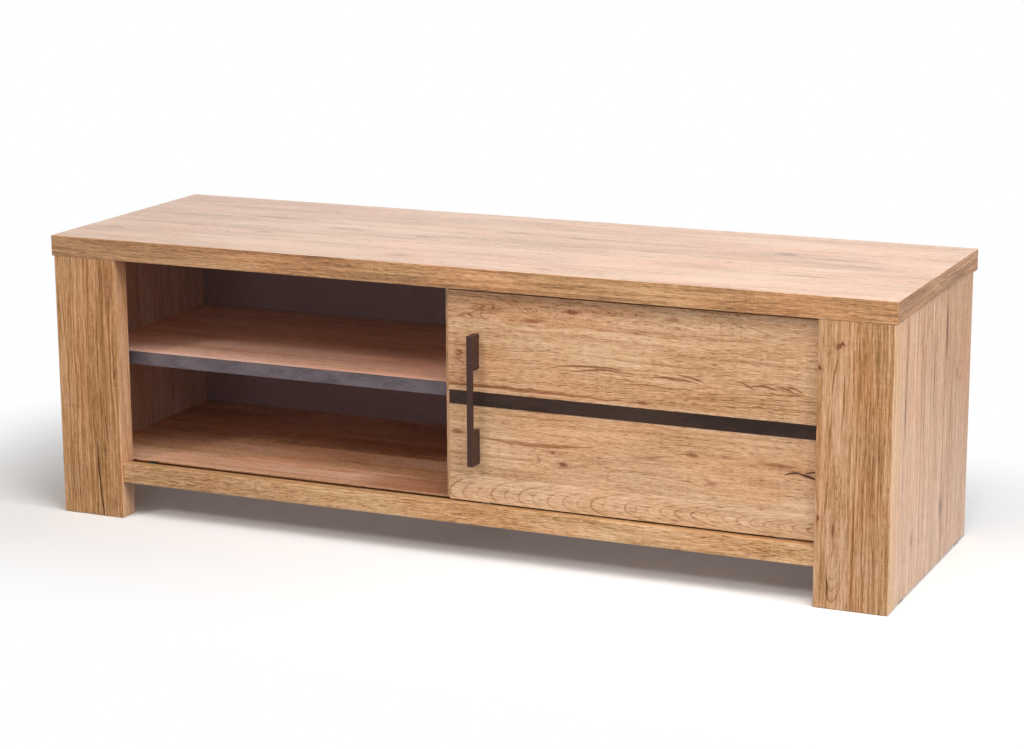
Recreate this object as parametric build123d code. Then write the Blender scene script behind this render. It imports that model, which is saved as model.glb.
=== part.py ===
"""Low television bench in oak laminate, with an open half and one door that slides across either half.

Millimetres, X to the right, Y to the back, Z up. The origin is on the floor, at the middle of the
bench's whole footprint, which the door's handle takes a little in front of the top.
"""
import os

from build123d import *

# Top
top_width = 1500.0
top_depth = 480.0
top_thickness = 36.0
top_height = 493.0
top_side_overhang = 4.0
top_front_overhang = 1.0
top_back_overhang = 12.0

# Front posts and side panels
post_width = 120.0
post_depth = 38.0
post_floor_gap = 1.0
side_thickness = 18.0
side_floor_gap = 3.5

# Front rail and bottom panel
rail_height = 34.0
rail_thickness = 19.0
rail_setback = 4.0
rail_floor_gap = 64.0
bottom_thickness = 18.0
bottom_rise = 1.0

# Divider, shelves and back panels
divider_thickness = 36.0
shelf_thickness = 23.0
shelf_setback = 20.0
shelf_height = 274.5
shelf_side_gap = 0.5
shelf_back_gap = 3.0
edging_thickness = 2.0
back_thickness = 3.0
back_rebate_width = 8.0
back_gap = 0.5
cable_hole_radius = 30.0
cable_hole_inset = 130.0
cable_hole_drop = 55.0

# Sliding door
door_thickness = 19.0
door_bottom_gap = 3.0
door_top_gap = 5.5
door_side_gap = 1.0
door_back_gap = 4.0
door_centre_overlap = 3.0
strip_height = 23.0
strip_thickness = 3.0
strip_proud = 1.0
strip_end_inset = 1.5

# Bar handle
handle_width = 10.0
handle_length = 217.0
handle_projection = 28.0
handle_bar = 6.0
handle_foot_length = 58.0
handle_inset = 45.0
handle_screw_depth = 12.0

# Lower track with its rib, and the grooved wheels that run on it
track_width = 15.0
track_base = 2.0
track_lip = 1.2
track_drop = 1.0
rib_width = 2.0
rib_height = 3.5
wheel_radius = 12.0
wheel_width = 6.0
wheel_groove_depth = 2.5
wheel_groove_slope = 1.0
wheel_rim_bevel = 0.6
wheel_side_gap = 0.5
wheel_top_gap = 1.0
axle_radius = 1.5
stop_length = 14.0
stop_height = 5.0

# Roller housings and top guides, let into the back of the door
fitting_inset = 60.0
fitting_cheek = 2.0
fitting_body = 40.0
fitting_flange = 64.0
flange_thickness = 2.0
housing_height = 30.0
guide_height = 24.0
guide_blade = 30.0
guide_blade_thickness = 8.0
guide_engagement = 6.0
channel_wall = 1.5
channel_side_gap = 1.0
channel_depth = 12.5

# Feet
glide_length = 36.0
glide_width = 16.0
glide_front_inset = 41.0
glide_back_inset = 49.0
foot_plate = 60.0
foot_plate_thickness = 4.0
foot_neck_radius = 15.0
foot_pad_radius = 23.0
foot_pad_height = 10.0
foot_back_inset = 170.0

# Cam fittings, dowels, pins and screws
cam_radius = 7.5
cam_depth = 12.5
cam_edge_distance = 34.0
cam_axis_depth = 9.0
bolt_head_radius = 3.3
bolt_head_length = 3.0
bolt_neck_radius = 2.0
bolt_neck_length = 5.0
bolt_thread_radius = 2.5
bolt_thread_length = 11.0
cam_slot_half = 3.6
cam_front_inset = 60.0
cam_back_inset = 70.0
dowel_radius = 4.0
dowel_length = 30.0
dowel_post_inset = 30.0
pin_radius = 2.5
pin_depth = 8.0
pin_spoon = 8.0
pin_spoon_thickness = 3.0
pin_inset = 50.0
screw_head_radius = 3.2
screw_head_height = 1.8
screw_shank_radius = 1.6
screw_length = 14.0
handle_screw_radius = 2.0
handle_screw_head_radius = 4.0
handle_screw_head_height = 2.4
divider_screw_radius = 3.0
divider_screw_head_radius = 4.8
divider_screw_head_height = 3.0
divider_screw_length = 50.0

# Eased edges and fits
board_edge = 1.5
thin_edge = 0.7
fit = 0.05
seat_gap = 0.1

# Heights
z_underside = top_height - top_thickness
z_rail_top = rail_floor_gap + rail_height
z_bottom = z_rail_top + bottom_rise
z_bottom_under = z_bottom - bottom_thickness
z_shelf = shelf_height - shelf_thickness / 2
z_rib = z_rail_top - track_drop
z_track_floor = z_rib - rib_height
z_track_under = z_track_floor - track_base
z_axle = z_rib + wheel_radius - wheel_groove_depth + fit
z_door = z_rail_top + door_bottom_gap
z_door_top = z_underside - door_top_gap

# Depths: the door hangs on its wheels, so the track places it
fitting_half = wheel_width / 2 + wheel_side_gap + fitting_cheek
rail_to_door = rail_setback + rail_thickness + track_width / 2 + fitting_half - door_thickness
handle_reach = max(0.0, handle_projection - rail_to_door - top_front_overhang)
y_top = (handle_reach - top_depth) / 2
y_post = y_top + top_front_overhang
y_side = y_post + post_depth
y_side_back = y_top + top_depth - top_back_overhang
y_back = y_side_back - back_thickness
y_rail = y_post + rail_setback
y_rail_back = y_rail + rail_thickness
y_track = y_rail_back + track_width / 2
y_door = y_post + rail_to_door
y_door_back = y_door + door_thickness
y_divider = y_door_back + door_back_gap
y_shelf = y_divider + shelf_setback

# Widths
x_outer = top_width / 2 - top_side_overhang
x_side = x_outer - side_thickness
x_post = x_outer - post_width
x_divider = divider_thickness / 2
x_door_right = x_post - door_side_gap
x_door_left = -door_centre_overlap
door_travel = x_door_left + x_door_right
roller_places = (x_door_left + fitting_inset, x_door_right - fitting_inset)
handle_x = x_door_left + handle_inset + handle_width / 2


def board(x, y, z):
    """A flat board from its low and high edges along each axis."""
    middle = [(low + high) / 2 for low, high in (x, y, z)]
    return Pos(*middle) * Box(*[high - low for low, high in (x, y, z)])


def round_bar(start, along, radius, length):
    """A round bar or bore from a start point."""
    base = Plane(origin=start, z_dir=along)
    return base * Cylinder(radius, length, align=(Align.CENTER, Align.CENTER, Align.MIN))


def turned(outline):
    """A turned piece from its outline, as (radius, height) points around Z."""
    face = make_face(Polyline(*[(radius, 0, height) for radius, height in outline], close=True))
    return revolve(face, Axis.Z)


def group(shapes):
    """Loose pieces of one kind, kept as separate solids."""
    return Compound([shape.solid() for shape in shapes])


def mirrored(shape):
    """The left-hand partner of a right-hand piece."""
    return mirror(shape, about=Plane.YZ)


def countersunk_screw(place, clearance=0.0):
    """A countersunk screw whose head lies flush at the place, with its point along the place's Z."""
    head = screw_head_radius + clearance
    shank = screw_shank_radius + clearance
    outline = [(0, 0), (head, 0), (shank, screw_head_height), (shank, screw_length), (0, screw_length)]
    return place * turned(outline)


# Cam fittings: each place has its Z into the board that holds the cam and its X towards the other board
cam_rows = (y_side + cam_front_inset, y_back - cam_back_inset)
cam_places = []
for y in cam_rows:
    for side in (-1, 1):
        inner_face = (side * x_side, y, z_underside - cam_edge_distance)
        cam_places.append(Plane(origin=inner_face, x_dir=(0, 0, 1), z_dir=(side, 0, 0)))
        under_face = (side * (x_side - cam_edge_distance), y, z_bottom_under)
        cam_places.append(Plane(origin=under_face, x_dir=(side, 0, 0), z_dir=(0, 0, 1)))
    divider_face = (x_divider, y, z_underside - cam_edge_distance)
    cam_places.append(Plane(origin=divider_face, x_dir=(0, 0, 1), z_dir=(-1, 0, 0)))


def cam_housing(place):
    """The round cam, slotted for the bolt's head and crossed for a screwdriver."""
    cam = round_bar((0, 0, 0), (0, 0, 1), cam_radius, cam_depth)
    slot = board((-bolt_head_length / 2 - seat_gap, cam_radius + seat_gap),
                 (-cam_slot_half, cam_slot_half),
                 (cam_axis_depth - cam_slot_half, cam_depth))
    cross = Box(cam_radius, bolt_neck_radius, bolt_neck_radius)
    return place * (cam - slot - cross - Rot(0, 0, 90) * cross)


def cam_bolt(place):
    """The bolt, with its thread in one board and its head in the other board's cam."""
    head_end = bolt_head_length / 2
    neck_end = head_end + bolt_neck_length
    outline = [
        (0, -head_end), (bolt_head_radius, -head_end), (bolt_head_radius, head_end),
        (bolt_neck_radius, head_end), (bolt_neck_radius, neck_end),
        (bolt_head_radius, neck_end), (bolt_head_radius, cam_edge_distance),
        (bolt_thread_radius, cam_edge_distance),
        (bolt_thread_radius, cam_edge_distance + bolt_thread_length),
        (0, cam_edge_distance + bolt_thread_length),
    ]
    return place * (Pos(0, 0, cam_axis_depth) * Rot(0, 90, 0) * turned(outline))


def cam_bores(place):
    """The cam's pocket, the bolt's bore through the edge and the thread's bore in the other board."""
    pocket = round_bar((0, 0, 0), (0, 0, 1), cam_radius + fit, cam_depth + seat_gap)
    bolt_line = (0, 0, cam_axis_depth)
    bolt_bore = round_bar(bolt_line, (1, 0, 0), bolt_head_radius + fit, cam_edge_distance)
    thread_length = cam_edge_distance + bolt_thread_length + seat_gap
    thread_bore = round_bar(bolt_line, (1, 0, 0), bolt_thread_radius + fit, thread_length)
    return place * (pocket + bolt_bore + thread_bore)


# Dowels: each place is on the joint between two boards, with its Z across the joint
y_post_middle = y_post + post_depth / 2
x_side_middle = x_side + side_thickness / 2
dowel_places = []
for side in (-1, 1):
    for x in (x_post + dowel_post_inset, x_outer - dowel_post_inset):
        dowel_places.append(Plane(origin=(side * x, y_post_middle, z_underside), z_dir=(0, 0, 1)))
    for z in (z_bottom, shelf_height + cam_edge_distance):
        dowel_places.append(Plane(origin=(side * x_side_middle, y_side, z + dowel_length), z_dir=(0, 1, 0)))
    rail_middle = (side * x_post, y_rail + rail_thickness / 2, rail_floor_gap + rail_height / 2)
    dowel_places.append(Plane(origin=rail_middle, z_dir=(side, 0, 0)))


def dowel(place, clearance=0.0):
    """A beech dowel, half in each board."""
    return place * Cylinder(dowel_radius + clearance, dowel_length + 2 * clearance)


def shelf_pin(side_face, towards, y):
    """A pin in a board's face, with a flat spoon that the shelf lies on."""
    plug = round_bar((side_face, y, z_shelf - pin_spoon_thickness), (-towards, 0, 0), pin_radius, pin_depth)
    spoon = board(sorted((side_face, side_face + towards * pin_spoon)),
                  (y - pin_spoon / 2, y + pin_spoon / 2),
                  (z_shelf - pin_spoon_thickness, z_shelf))
    return plug + spoon


pin_faces = ((-x_side, 1), (-x_divider, -1), (x_divider, 1), (x_side, -1))
pin_rows = (y_shelf + pin_inset, y_back - shelf_back_gap - pin_inset)
pin_bores = []
shelf_pins = []
for face, towards in pin_faces:
    for y in pin_rows:
        shelf_pins.append(shelf_pin(face, towards, y))
        mouth = (face, y, z_shelf - pin_spoon_thickness)
        pin_bores.append(round_bar(mouth, (-towards, 0, 0), pin_radius + fit, pin_depth + seat_gap))

# Screws up through the bottom panel into the divider
divider_screw_places = [Plane(origin=(0, y, z_bottom_under), z_dir=(0, 0, 1)) for y in cam_rows]


def divider_screw(place, clearance=0.0):
    """A thick screw for boards, with its head flush under the bottom panel."""
    head = divider_screw_head_radius + clearance
    shank = divider_screw_radius + clearance
    end = divider_screw_length + clearance
    outline = [(0, 0), (head, 0), (shank, divider_screw_head_height), (shank, end), (0, end)]
    return place * turned(outline)


# Glides under the side panels, each with a pin up into the panel
glide_rows = (y_side + glide_front_inset, y_side_back - glide_back_inset)
glide_places = [Pos(side * x_side_middle, y, 0) for side in (-1, 1) for y in glide_rows]


def glide_pin(place, clearance=0.0):
    """The pin that holds a glide."""
    length = side_floor_gap + 4 * pin_radius + clearance
    return place * round_bar((0, 0, side_floor_gap / 2), (0, 0, 1), pin_radius / 2 + clearance, length)


def floor_glide(place):
    """A moulded glide with round ends and a softened sole."""
    pad = extrude(SlotOverall(glide_length, glide_width, rotation=90), side_floor_gap)
    pad = chamfer(pad.faces().sort_by(Axis.Z)[0].edges(), thin_edge)
    return place * pad + glide_pin(place)


# Support foot under the middle of the bottom panel
foot_place = Pos(0, y_side_back - foot_back_inset, 0)
foot_screw_offset = foot_plate / 2 - 2.5 * screw_head_radius
foot_screw_places = [
    foot_place * Pos(x, y, z_bottom_under - foot_plate_thickness)
    for x in (-foot_screw_offset, foot_screw_offset)
    for y in (-foot_screw_offset, foot_screw_offset)
]


def make_centre_foot():
    """A moulded foot: a screwed plate, a tapering neck and a round pad on the floor."""
    plate_under = z_bottom_under - foot_plate_thickness
    neck_flare = (foot_pad_radius - foot_neck_radius) / 2
    outline = [
        (0, 0), (foot_pad_radius - thin_edge, 0), (foot_pad_radius, thin_edge),
        (foot_pad_radius, foot_pad_height), (foot_neck_radius, foot_pad_height + neck_flare),
        (foot_neck_radius + neck_flare, plate_under), (0, plate_under),
    ]
    plate = board((-foot_plate / 2, foot_plate / 2), (-foot_plate / 2, foot_plate / 2),
                  (plate_under, z_bottom_under))
    plate = chamfer(plate.edges().filter_by(Axis.Z), 3 * thin_edge)
    foot = foot_place * (turned(outline) + plate)
    return foot - [countersunk_screw(place, fit) for place in foot_screw_places]


def make_top_panel():
    """The thick top, grooved underneath for the door's guide channel."""
    panel = board((-top_width / 2, top_width / 2), (y_top, y_top + top_depth), (z_underside, top_height))
    panel = fillet(panel.edges(), board_edge)
    groove = board((-x_post, x_post),
                   (y_track - channel_outer / 2 - fit, y_track + channel_outer / 2 + fit),
                   (z_underside, z_underside + channel_depth + fit))
    return panel - groove - all_bores


def make_post():
    """The right front post, a wide upright board that stands to the floor."""
    post = board((x_post, x_outer), (y_post, y_side), (post_floor_gap, z_underside))
    uprights = post.edges().filter_by(Axis.Z).sort_by(Axis.Y)
    post = fillet(uprights[:2], board_edge)
    return fillet(post.edges().filter_by(Axis.Z).sort_by(Axis.Y)[-2:], thin_edge)


def make_side_panel():
    """The right side panel, behind its post and rebated for the back panel."""
    panel = board((x_side, x_outer), (y_side, y_side_back), (side_floor_gap, z_underside))
    outer_corners = panel.edges().filter_by(Axis.Z).group_by(Axis.X)[-1]
    panel = fillet(outer_corners, thin_edge)
    rebate = board((x_side, x_side + back_rebate_width), (y_back, y_side_back),
                   (z_bottom_under - back_gap, z_underside))
    return panel - rebate


def make_bottom_panel():
    """The bottom panel, notched round the posts and stepped down at the front for the track."""
    behind_posts = board((-x_side, x_side), (y_side, y_back), (z_bottom_under, z_bottom))
    between_posts = board((-x_post, x_post), (y_rail_back, y_side), (z_bottom_under, z_bottom))
    step = board((-x_post, x_post), (y_rail_back, y_rail_back + track_width), (z_track_under, z_bottom))
    foot_screws = [countersunk_screw(place, fit) for place in foot_screw_places]
    divider_screws = [divider_screw(place, fit) for place in divider_screw_places]
    return behind_posts + between_posts - step - all_bores - foot_screws - divider_screws


def make_bottom_rail():
    """The front rail between the posts, with softened front edges."""
    rail = board((-x_post, x_post), (y_rail, y_rail_back), (rail_floor_gap, z_rail_top))
    front_edges = rail.edges().filter_by(Axis.X).group_by(Axis.Y)[0]
    return fillet(front_edges, board_edge) - all_bores


def make_divider():
    """The thick upright in the middle, behind the door."""
    panel = board((-x_divider, x_divider), (y_divider, y_back), (z_bottom, z_underside))
    front_edges = panel.edges().filter_by(Axis.Z).group_by(Axis.Y)[0]
    panel = fillet(front_edges, thin_edge)
    return panel - all_bores - [divider_screw(place, fit) for place in divider_screw_places]


def make_shelf():
    """The right shelf, which lies on four pins, and its dark front edging."""
    x = (x_divider + shelf_side_gap, x_side - shelf_side_gap)
    z = (z_shelf, z_shelf + shelf_thickness)
    y_core = y_shelf + edging_thickness
    shelf = board(x, (y_core, y_back - shelf_back_gap), z)
    edging = board(x, (y_shelf, y_core), z)
    edging = fillet(edging.edges().filter_by(Axis.X).group_by(Axis.Y)[0], thin_edge)
    return shelf, edging


def make_back_panel():
    """The thin right back panel, with a hole for cables behind the upper compartment."""
    panel = board((back_gap, x_side + back_rebate_width - back_gap), (y_back, y_side_back),
                  (z_bottom_under, z_underside - back_gap))
    hole_centre = (x_divider + cable_hole_inset, y_back, z_underside - cable_hole_drop)
    return panel - round_bar(hole_centre, (0, 1, 0), cable_hole_radius, back_thickness)


def make_lower_track():
    """The track: a flat base with two low lips and a round-topped rib for the wheels."""
    half = track_width / 2 - seat_gap
    base = Pos(0, track_base / 2) * Rectangle(2 * half, track_base)
    lip_height = track_base + rib_height
    lips = [Pos(side * (half - track_lip / 2), lip_height / 2) * Rectangle(track_lip, lip_height)
            for side in (-1, 1)]
    rib_round = track_base + rib_height - rib_width / 2
    rib = Pos(0, rib_round / 2) * Rectangle(rib_width, rib_round) + Pos(0, rib_round) * Circle(rib_width / 2)
    section = Plane(origin=(seat_gap - x_post, y_track, z_track_under), x_dir=(0, 1, 0), z_dir=(1, 0, 0))
    return extrude(section * (base + lips + rib), 2 * (x_post - seat_gap))


def make_track_stops():
    """Rubber stops clipped over the rib, just clear of the wheels at both ends of the travel."""
    wheel_drop = z_axle - z_track_floor - stop_height
    wheel_reach = (wheel_radius**2 - min(wheel_drop, wheel_radius) ** 2) ** 0.5
    face = x_door_right - fitting_inset + wheel_reach + wheel_side_gap
    half = track_width / 2 - seat_gap - track_lip - fit
    stop = board((face, face + stop_length), (y_track - half, y_track + half),
                 (z_track_floor, z_track_floor + stop_height))
    stop = fillet(stop.edges().group_by(Axis.Z)[-1], thin_edge)
    slot = board((face, face + stop_length),
                 (y_track - rib_width / 2 - fit, y_track + rib_width / 2 + fit),
                 (z_track_floor, z_rib + fit))
    return stop - slot


channel_inner = guide_blade_thickness + 2 * channel_side_gap
channel_outer = channel_inner + 2 * channel_wall


def make_guide_channel():
    """The guide channel in the top's groove, open downwards."""
    length = (seat_gap - x_post, x_post - seat_gap)
    z_roof = z_underside + channel_depth
    outer = board(length, (y_track - channel_outer / 2, y_track + channel_outer / 2), (z_underside, z_roof))
    inner = board(length, (y_track - channel_inner / 2, y_track + channel_inner / 2),
                  (z_underside, z_roof - channel_wall))
    return outer - inner


def fitting_block(x, z, clearance=0.0):
    """The body and flange of a fitting that is let into the door's back face."""
    half_body = fitting_body / 2 + clearance
    half_flange = fitting_flange / 2 + clearance
    body = board((x - half_body, x + half_body), (y_track - fitting_half - clearance, y_door_back), z)
    flange = board((x - half_flange, x + half_flange), (y_door_back - flange_thickness - clearance, y_door_back), z)
    return body + flange


housing_z = (z_door, z_door + housing_height)
guide_z = (z_door_top - guide_height, z_door_top)
flange_screw_offset = (fitting_body + fitting_flange) / 4


def fitting_screw_places(z):
    """Two screws into the door through each fitting's flange, for both fittings of a pair."""
    height = (z[0] + z[1]) / 2
    return [
        Plane(origin=(x + offset, y_door_back, height), z_dir=(0, -1, 0))
        for x in roller_places
        for offset in (-flange_screw_offset, flange_screw_offset)
    ]


def make_roller_housing(x):
    """A moulded roller housing, open below for the wheel."""
    slot_half = wheel_radius + wheel_top_gap
    slot_depth = wheel_width / 2 + wheel_side_gap
    wheel_slot = board((x - slot_half, x + slot_half), (y_track - slot_depth, y_track + slot_depth),
                       (z_door, z_axle + slot_half))
    axle_hole = round_bar((x, y_track - fitting_half, z_axle), (0, 1, 0), axle_radius, 2 * fitting_half)
    screws = [countersunk_screw(place, fit) for place in fitting_screw_places(housing_z)]
    return fitting_block(x, housing_z) - wheel_slot - axle_hole - screws


def make_top_guide(x):
    """A moulded top guide, with a blade that rises into the guide channel."""
    blade = board((x - guide_blade / 2, x + guide_blade / 2),
                  (y_track - guide_blade_thickness / 2, y_track + guide_blade_thickness / 2),
                  (z_door_top, z_underside + guide_engagement))
    blade = fillet(blade.edges().filter_by(Axis.Y).group_by(Axis.Z)[-1], 2 * thin_edge)
    screws = [countersunk_screw(place, fit) for place in fitting_screw_places(guide_z)]
    return fitting_block(x, guide_z) + blade - screws


def make_wheel():
    """A grooved wheel around Z: the groove rides on the track's rib."""
    half = wheel_width / 2
    root_half = rib_width / 2 + 4 * fit
    rim_half = root_half + wheel_groove_slope
    root = wheel_radius - wheel_groove_depth
    bore = axle_radius + fit
    outline = [
        (bore, -half), (wheel_radius - wheel_rim_bevel, -half), (wheel_radius, wheel_rim_bevel - half),
        (wheel_radius, -rim_half), (root, -root_half), (root, root_half), (wheel_radius, rim_half),
        (wheel_radius, half - wheel_rim_bevel), (wheel_radius - wheel_rim_bevel, half), (bore, half),
    ]
    return turned(outline)


handle_z = (shelf_height - handle_length / 2, shelf_height + handle_length / 2)
handle_screw_heights = (handle_z[0] + handle_foot_length / 2, handle_z[1] - handle_foot_length / 2)


def handle_screw(z, clearance=0.0):
    """A screw from the door's back into one foot of the handle."""
    shank_length = door_thickness + handle_screw_depth
    shank = round_bar((handle_x, y_door_back, z), (0, -1, 0), handle_screw_radius + clearance, shank_length)
    head = round_bar((handle_x, y_door_back, z), (0, 1, 0), handle_screw_head_radius, handle_screw_head_height)
    return shank + head


def make_handle():
    """The bar handle: a flat bar on two tall square feet."""
    x = (handle_x - handle_width / 2, handle_x + handle_width / 2)
    y_front = y_door - handle_projection
    whole = board(x, (y_front, y_door), handle_z)
    finger_gap = board(x, (y_front + handle_bar, y_door),
                       (handle_z[0] + handle_foot_length, handle_z[1] - handle_foot_length))
    handle = whole - finger_gap
    foot_rims = handle.faces().filter_by(Axis.Y).sort_by(Axis.Y)[-2:].edges()
    handle = chamfer(handle.edges() - foot_rims, thin_edge)
    return handle - [handle_screw(z, fit) for z in handle_screw_heights]


def make_strip():
    """The dark strip, let into the door's front and slightly proud of it."""
    return board((x_door_left + strip_end_inset, x_door_right - strip_end_inset),
                 (y_door - strip_proud, y_door - strip_proud + strip_thickness),
                 (shelf_height - strip_height / 2, shelf_height + strip_height / 2))


def make_door_panel():
    """The door: grooved in front for the strip, pocketed behind for its fittings."""
    door = board((x_door_left, x_door_right), (y_door, y_door_back), (z_door, z_door_top))
    door = fillet(door.faces().sort_by(Axis.Y)[0].edges(), thin_edge)
    groove = board((x_door_left + strip_end_inset - fit, x_door_right - strip_end_inset + fit),
                   (y_door, y_door - strip_proud + strip_thickness + fit),
                   (shelf_height - strip_height / 2 - fit, shelf_height + strip_height / 2 + fit))
    housing_pocket_z = (housing_z[0], housing_z[1] + seat_gap)
    guide_pocket_z = (guide_z[0] - seat_gap, guide_z[1])
    pockets = [fitting_block(x, z, seat_gap) for x in roller_places for z in (housing_pocket_z, guide_pocket_z)]
    screws = [countersunk_screw(place, fit) for z in (housing_z, guide_z) for place in fitting_screw_places(z)]
    screws += [handle_screw(z, fit) for z in handle_screw_heights]
    return door - groove - pockets - screws


all_bores = [cam_bores(place) for place in cam_places]
all_bores += [dowel(place, fit) for place in dowel_places]
all_bores += pin_bores
all_bores += [glide_pin(place, fit) for place in glide_places]

right_post = make_post()
right_side_panel = make_side_panel()
right_shelf, right_shelf_edging = make_shelf()
right_back_panel = make_back_panel()
track_stop = make_track_stops()
wheel = make_wheel()

pieces = {
    "top_panel": make_top_panel(),
    "left_post": mirrored(right_post) - all_bores,
    "right_post": right_post - all_bores,
    "left_side_panel": mirrored(right_side_panel) - all_bores,
    "right_side_panel": right_side_panel - all_bores,
    "bottom_panel": make_bottom_panel(),
    "bottom_rail": make_bottom_rail(),
    "divider": make_divider(),
    "left_shelf": mirrored(right_shelf),
    "right_shelf": right_shelf,
    "left_shelf_edging": mirrored(right_shelf_edging),
    "right_shelf_edging": right_shelf_edging,
    "left_back_panel": mirrored(right_back_panel),
    "right_back_panel": right_back_panel,
    "lower_track": make_lower_track(),
    "track_stops": group([mirrored(track_stop), track_stop]),
    "upper_guide_channel": make_guide_channel(),
    "shelf_pins": group(shelf_pins),
    "cam_housings": group(cam_housing(place) for place in cam_places),
    "cam_bolts": group(cam_bolt(place) for place in cam_places),
    "wood_dowels": group(dowel(place) for place in dowel_places),
    "divider_screws": group(divider_screw(place) for place in divider_screw_places),
    "floor_glides": group(floor_glide(place) for place in glide_places),
    "centre_foot": make_centre_foot(),
    "centre_foot_screws": group(countersunk_screw(place) for place in foot_screw_places),
    "door_panel": make_door_panel(),
    "door_strip": make_strip(),
    "door_handle": make_handle(),
    "handle_screws": group(handle_screw(z) for z in handle_screw_heights),
    "roller_housing_screws": group(countersunk_screw(place) for place in fitting_screw_places(housing_z)),
    "top_guide_screws": group(countersunk_screw(place) for place in fitting_screw_places(guide_z)),
}
axle_length = 2 * (fitting_half - seat_gap)
axles = []
for side, x in zip(("left", "right"), roller_places):
    axle_start = (x, y_track - axle_length / 2, z_axle)
    axles.append(round_bar(axle_start, (0, 1, 0), axle_radius, axle_length))
    pieces[f"{side}_roller_housing"] = make_roller_housing(x)
    pieces[f"{side}_top_guide"] = make_top_guide(x)
    pieces[f"{side}_roller_wheel"] = Plane(origin=(x, y_track, z_axle), z_dir=(0, 1, 0)) * wheel
pieces["roller_axles"] = group(axles)

os.makedirs("parts", exist_ok=True)
for name, shape in pieces.items():
    export_step(shape, f"parts/{name}.step")
print(f"door travel {door_travel:.1f} mm, wheel axle at height {z_axle:.2f} mm")
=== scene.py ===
import math

import bpy
from mathutils import Matrix, Vector


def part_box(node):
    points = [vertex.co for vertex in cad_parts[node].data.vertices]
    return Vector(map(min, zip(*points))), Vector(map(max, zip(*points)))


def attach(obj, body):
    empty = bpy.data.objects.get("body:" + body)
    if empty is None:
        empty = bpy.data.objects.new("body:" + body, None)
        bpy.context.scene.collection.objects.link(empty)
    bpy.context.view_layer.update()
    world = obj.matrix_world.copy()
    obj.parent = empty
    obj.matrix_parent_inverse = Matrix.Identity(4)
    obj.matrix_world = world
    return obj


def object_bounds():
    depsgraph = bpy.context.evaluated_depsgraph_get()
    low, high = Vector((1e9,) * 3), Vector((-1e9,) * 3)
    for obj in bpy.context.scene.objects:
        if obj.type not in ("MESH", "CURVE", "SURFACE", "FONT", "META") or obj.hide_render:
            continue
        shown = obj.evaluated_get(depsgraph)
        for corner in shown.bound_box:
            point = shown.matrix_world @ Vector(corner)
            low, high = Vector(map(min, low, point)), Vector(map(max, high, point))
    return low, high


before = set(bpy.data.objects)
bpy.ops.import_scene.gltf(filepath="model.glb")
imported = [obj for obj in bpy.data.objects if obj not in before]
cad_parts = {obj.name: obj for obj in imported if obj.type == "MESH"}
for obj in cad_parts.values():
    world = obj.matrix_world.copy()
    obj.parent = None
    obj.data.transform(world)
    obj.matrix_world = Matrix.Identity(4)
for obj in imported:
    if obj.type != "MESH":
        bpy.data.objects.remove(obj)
cad_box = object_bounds()

# Side panels: 18 mm particle board in printed oak paper, with the grain upright, on plastic glides.
# Each is doweled to the back of its post and rebated inside for the back panel. The paper's print
# runs in planks, with growth rings about a pith, fibres, pores, saw marks, knots and cracks.
STRAIGHT_GRAIN = (0.10, 9.0, 0.04)  # growth rings: strength, spacing in millimetres, rise
LIVELY_GRAIN = (0.50, 0.44, 0.60)  # shares of stain, thread and speck
QUIET_GRAIN = (0.22, 0.80, 0.28)
OAK_TONES = (
    (0.04, (0.135, 0.060, 0.021)),
    (0.30, (0.350, 0.174, 0.062)),
    (0.50, (0.508, 0.290, 0.146)),
    (0.70, (0.622, 0.386, 0.214)),
    (0.96, (0.738, 0.512, 0.325)),
)
OAK_BLUSH = (1.03, 0.93, 0.90)
KNOT_STAIN = (0.56, 0.40, 0.31)
KNOT_BROWN = (0.055, 0.022, 0.009)
RING_WANDER = 22.0
RING_RIPPLE = 4.5
RING_MIDDLE = 13.2
RING_DRIFT = 3.6
BAND_WIDTH = 6.0
DRIFT_WIDTH = 34.0
BAND_SHARE = 0.24
FIBRE_SHARE = 0.70
PORE_SHARE = 0.40
SAW_SHARE = 0.20
DETAIL_LIFT = 0.09
MIDDLE_TONE = 0.5
TONE_STEP = 0.20
FACE_PAGES = (3.1, 7.3, 11.9)
PLANK_PAGE = 4.7
RAGGED_SIZE = (14, 5)
RAGGED_REACH = (14.0, 4.5, 0.0)
SWAY_SIZE = (45, 30)
SWAY_REACH = 7.0
HALO_SHARE = 0.34
RING_DETOUR = 2.2
GRAIN_RELIEF = 0.22
GRAIN_DEPTH = 0.0004
COAT_ROUGHNESS = 0.30


def add_node(tree, kind, *inputs, out=0, **settings):
    """One shader node: its settings, then its inputs in order, as sockets or plain values."""
    made = tree.nodes.new("ShaderNode" + kind)
    for name, value in settings.items():
        setattr(made, name, value)
    for socket, value in zip(made.inputs, inputs):
        if isinstance(value, bpy.types.NodeSocket):
            tree.links.new(value, socket)
        elif value is not None:
            socket.default_value = value
    return made.outputs[out]


def calc(tree, operation, *values):
    """One sum of sockets or numbers."""
    return add_node(tree, "Math", *values, operation=operation)


def ease(tree, value, start, end, low=0.0, high=1.0):
    """A soft step from low to high as the value goes from start to end."""
    return add_node(tree, "MapRange", value, start, end, low, high, interpolation_type="SMOOTHSTEP")


def mix_colours(tree, share, first, second, blend="MIX"):
    """Two colours mixed by a share."""
    gap = (None,) * 5
    return add_node(tree, "Mix", share, *gap, first, second, out=2, data_type="RGBA", blend_type=blend)


def streaks(tree, place, along, across, sheet, detail=2.0):
    """A noise stretched to these lengths along and across the grain."""
    stretch = (1 / along, 1 / across, 1.0)
    spot = add_node(tree, "VectorMath", place, stretch, (0, 0, sheet), operation="MULTIPLY_ADD")
    return add_node(tree, "TexNoise", spot, None, 1.0, detail, 0.55)


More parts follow.
